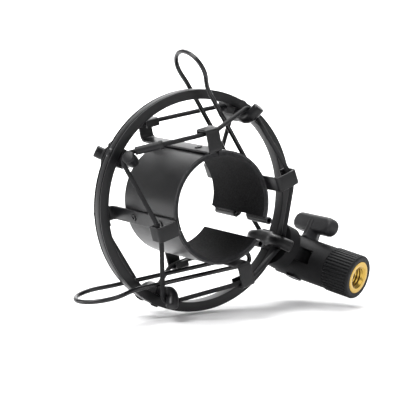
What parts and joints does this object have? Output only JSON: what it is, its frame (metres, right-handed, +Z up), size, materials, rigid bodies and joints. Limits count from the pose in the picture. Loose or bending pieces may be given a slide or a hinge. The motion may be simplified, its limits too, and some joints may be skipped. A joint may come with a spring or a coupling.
{
  "type": "microphone shock mount",
  "caption": "Elastic-cord suspension ring with a squeeze-open spring clip for a microphone body, wire squeeze handles and a swivel stand adapter with a brass thread insert.",
  "frame": {"origin": "centre of the suspension ring, on the clip's axis", "axes": "Y along the ring's and clip's shared axis with the front at -Y, +Z up, +X to the right seen from the front"},
  "size_m": [0.1498, 0.0705, 0.1252],
  "materials": {
    "ring_paint": "semi-gloss black paint",
    "clip_paint": "satin black paint on spring steel and sheet steel",
    "handle_wire": "glossy black coated steel wire",
    "pad_rubber": "matte fine-grained black rubber",
    "elastic_cord": "matte braided black elastic cord",
    "sleeve_plastic": "satin black plastic",
    "swivel_plastic": "satin moulded black plastic",
    "collar_plastic": "ridged satin black plastic",
    "dark_steel": "blackened steel",
    "brass": "bright machined brass"
  },
  "bodies": {
    "ring": {"outer_ring": "ring_paint", "hook_upper_right": "clip_paint", "hook_upper_left": "clip_paint", "hook_lower_left": "clip_paint", "hook_lower_right": "clip_paint", "hook_rivets": "clip_paint", "swivel_boss": "swivel_plastic", "boss_screws": "dark_steel", "front_cord": "elastic_cord", "rear_cord": "elastic_cord", "front_cord_sleeve": "sleeve_plastic", "rear_cord_sleeve": "sleeve_plastic"},
    "clip_back": {"back_shell": "clip_paint", "back_pad": "pad_rubber", "top_bracket": "clip_paint", "left_bracket": "clip_paint", "back_rivets": "clip_paint"},
    "upper_jaw": {"upper_jaw_shell": "clip_paint", "upper_jaw_pad": "pad_rubber", "right_bracket": "clip_paint", "upper_jaw_rivets": "clip_paint", "upper_handle": "handle_wire"},
    "lower_jaw": {"lower_jaw_shell": "clip_paint", "lower_jaw_pad": "pad_rubber", "bottom_bracket": "clip_paint", "lower_jaw_rivets": "clip_paint", "lower_handle": "handle_wire"},
    "swivel": {"swivel_body": "swivel_plastic", "clamp_nut": "dark_steel", "collar_screw": "dark_steel"},
    "thumb_screw": {"thumb_screw_handle": "swivel_plastic", "thumb_screw_bolt": "dark_steel"},
    "collar": {"knurled_collar": "collar_plastic"},
    "adapter": {"thread_adapter": "brass"}
  },
  "joints": [
    {"name": "clip_float", "type": "slide", "parent": "ring", "child": "clip_back", "axis": [0, 1, 0], "range_m": [-0.001, 0.001], "stiffness_N_per_m": 900, "deforming": ["front_cord", "rear_cord"]},
    {"name": "upper_jaw_open", "type": "hinge", "parent": "clip_back", "child": "upper_jaw", "pos_m": [-0.00211, 0, 0.02621], "axis": [0, -1, 0], "range_deg": [0, 8], "deforming": ["front_cord", "rear_cord"]},
    {"name": "lower_jaw_open", "type": "hinge", "parent": "clip_back", "child": "lower_jaw", "pos_m": [-0.02414, 0, -0.01044], "axis": [0, 1, 0], "range_deg": [0, 8], "deforming": ["front_cord", "rear_cord"]},
    {"name": "swivel_tilt", "type": "hinge", "parent": "ring", "child": "swivel", "pos_m": [0.06234, 0, -0.03315], "axis": [0.4695, 0, 0.8829], "range_deg": [-25, 155]},
    {"name": "thumb_screw_turn", "type": "hinge", "parent": "swivel", "child": "thumb_screw", "pos_m": [0.06234, 0, -0.03315], "axis": [0.4695, 0, 0.8829], "continuous": true},
    {"name": "collar_turn", "type": "hinge", "parent": "swivel", "child": "collar", "pos_m": [0.06234, 0, -0.03315], "axis": [0.3731, -0.9063, -0.1984], "continuous": true},
    {"name": "adapter_unscrew", "type": "slide", "parent": "collar", "child": "adapter", "axis": [0.3731, -0.9063, -0.1984], "range_m": [0, 0.012]}
  ],
  "couplings": [
    {"joint": "lower_jaw_open", "follows": "upper_jaw_open", "ratio": 1}
  ]
}
